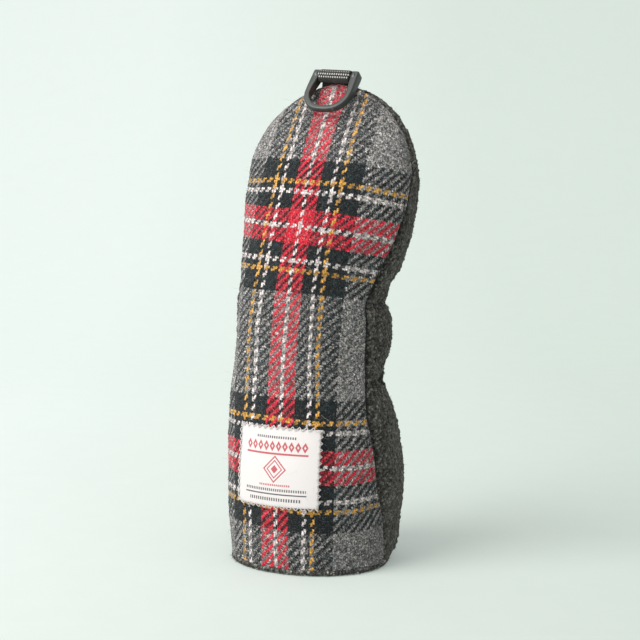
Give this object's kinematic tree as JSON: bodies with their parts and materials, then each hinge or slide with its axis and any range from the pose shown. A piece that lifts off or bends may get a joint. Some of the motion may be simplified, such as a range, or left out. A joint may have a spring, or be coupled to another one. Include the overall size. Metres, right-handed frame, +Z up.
{
  "type": "driver head cover",
  "caption": "Tall padded fabric cover for a golf driver head, with a tartan front, gathered fleece back, open bottom and a swinging D-ring on a webbing loop.",
  "frame": {"origin": "at floor level, in the middle of the cover's bounding box, under the open bottom", "axes": "+Z up from the open bottom edge to the ring, -Y towards the tartan front and its label, +X to the cover's left-hand seam seen from its own back, which is the viewer's right when the front is faced"},
  "size_m": [0.1428, 0.1172, 0.3448],
  "materials": {
    "tartan_tweed": "thick 2/2 twill tweed in a red, gold, white and charcoal tartan on a grey melange ground",
    "padding_felt": "soft needled felt",
    "soft_lining": "short brushed knit",
    "grey_fleece": "nubby curled fleece pile",
    "white_elastic": "flat woven elastic tape",
    "dark_thread": "spun polyester thread",
    "hem_tape": "ribbed binding tape",
    "woven_satin": "fine woven label ground with coloured yarn",
    "white_thread": "glossy white embroidery thread",
    "ribbed_webbing": "ribbed polyester webbing",
    "moulded_charcoal": "satin moulded plastic with softened edges"
  },
  "bodies": {
    "cover_body": {"front_panel": "tartan_tweed", "front_interlining": "padding_felt", "front_lining": "soft_lining", "back_panel": "grey_fleece", "back_lining": "soft_lining", "lower_elastic": "white_elastic", "upper_elastic": "white_elastic", "lower_elastic_stitching": "dark_thread", "upper_elastic_stitching": "dark_thread", "right_seam_stitching": "dark_thread", "left_seam_stitching": "dark_thread", "hem_binding": "hem_tape", "hem_stitching": "dark_thread", "woven_label": "woven_satin", "label_stitching": "white_thread", "webbing_tail": "ribbed_webbing"},
    "top_loop": {"webbing_loop": "ribbed_webbing", "loop_bar_tack": "dark_thread"},
    "ring": {"d_ring": "moulded_charcoal"}
  },
  "joints": [
    {"name": "loop_fold", "type": "hinge", "parent": "cover_body", "child": "top_loop", "pos_m": [0.01547, -0.00767, 0.33479], "axis": [-0.9969, 0, 0.0785], "range_deg": [0, 60]},
    {"name": "ring_swing", "type": "hinge", "parent": "top_loop", "child": "ring", "pos_m": [0.01579, -0.01177, 0.33888], "axis": [-0.9969, 0, 0.0785], "range_deg": [0, 190]}
  ]
}
